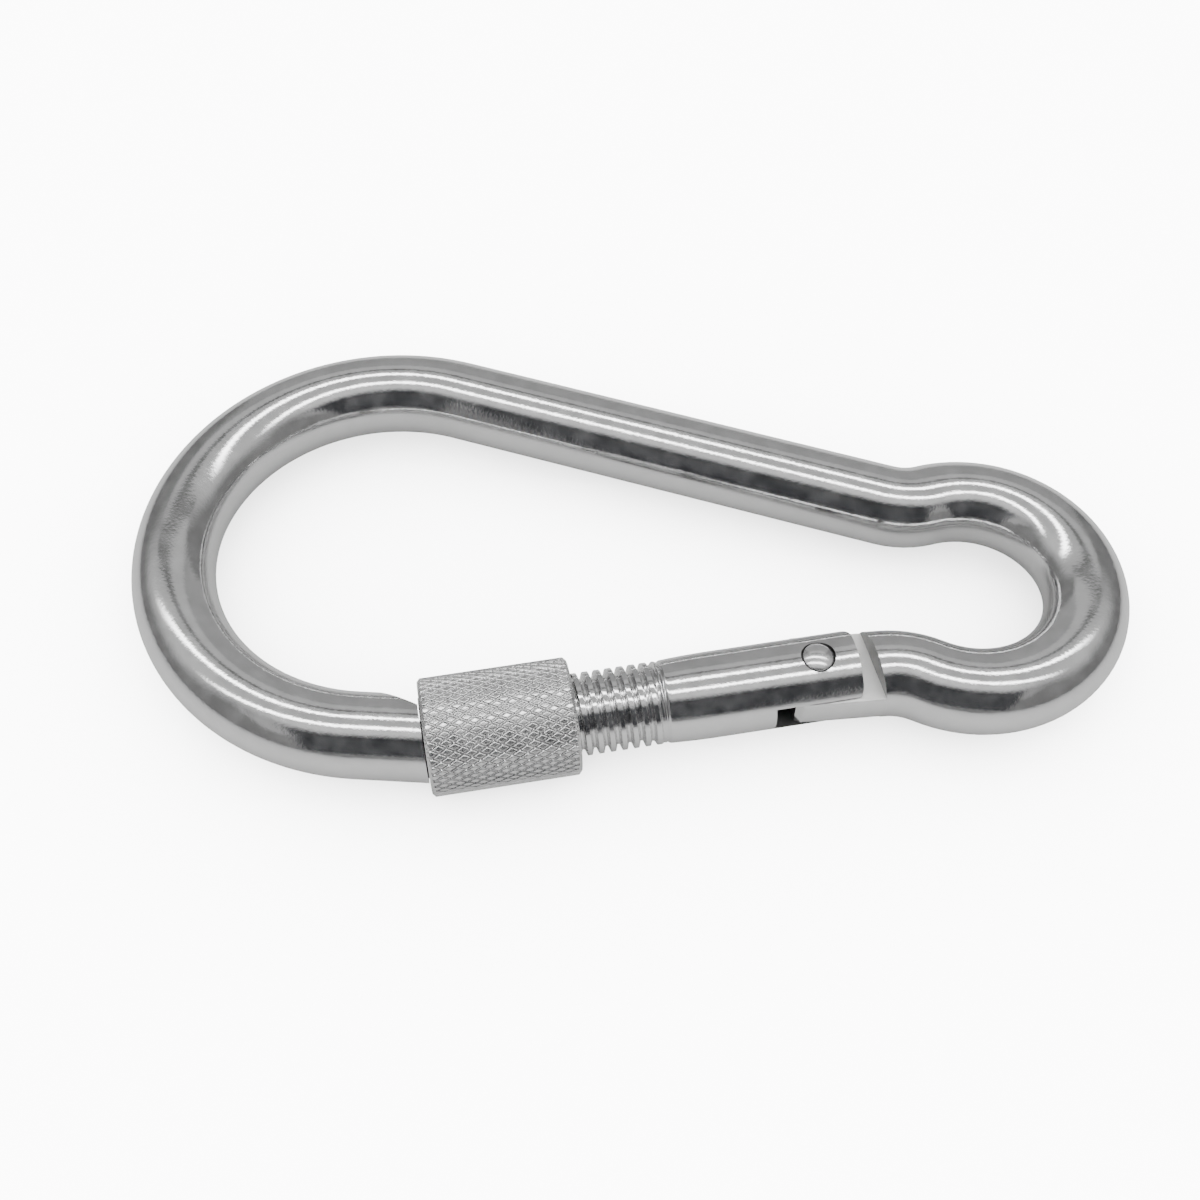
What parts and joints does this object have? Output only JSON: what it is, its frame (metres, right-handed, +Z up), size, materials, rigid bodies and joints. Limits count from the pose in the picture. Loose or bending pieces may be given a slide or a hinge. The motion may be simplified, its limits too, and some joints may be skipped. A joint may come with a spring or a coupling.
{
  "type": "screw-lock snap hook",
  "caption": "Pear-shaped snap hook bent from round steel bar, with a small eye, a sprung hinged gate and a knurled nut that screws over the gate's joint.",
  "frame": {"origin": "middle of the underside of the whole hook as it lies flat", "axes": "+X from the wide bow to the small eye, +Y from the gate to the spine, +Z up, square to the plane of the hook"},
  "size_m": [0.156, 0.0816, 0.0176],
  "materials": {
    "polished_steel": "polished stainless steel with fine handling scratches",
    "knurled_steel": "diamond-knurled stainless steel, bright crests and duller grooves",
    "rivet_steel": "plain turned stainless steel",
    "spring_steel": "drawn spring wire"
  },
  "bodies": {
    "frame": {"frame": "polished_steel"},
    "gate": {"gate": "polished_steel", "hinge_rivet": "rivet_steel", "gate_spring": "spring_steel"},
    "nut": {"lock_nut": "knurled_steel"},
    "plunger": {"spring_plunger": "rivet_steel"}
  },
  "joints": [
    {"name": "gate_hinge", "type": "hinge", "parent": "frame", "child": "gate", "pos_m": [0.0298, -0.01714, 0.0088], "axis": [0, 0, -1], "range_deg": [0, 45], "stiffness_Nm_per_rad": 0.15, "springref_deg": -38.22, "deforming": ["gate_spring"]},
    {"name": "nut_slide", "type": "slide", "parent": "gate", "child": "nut", "axis": [0.9659, 0.2588, 0], "range_m": [-0.0027, 0.0135]},
    {"name": "plunger_slide", "type": "slide", "parent": "gate", "child": "plunger", "axis": [-0.9659, -0.2588, 0], "range_m": [0, 0.002]}
  ],
  "couplings": [
    {"joint": "plunger_slide", "follows": "gate_hinge", "m_per_rad": 0.0025}
  ]
}
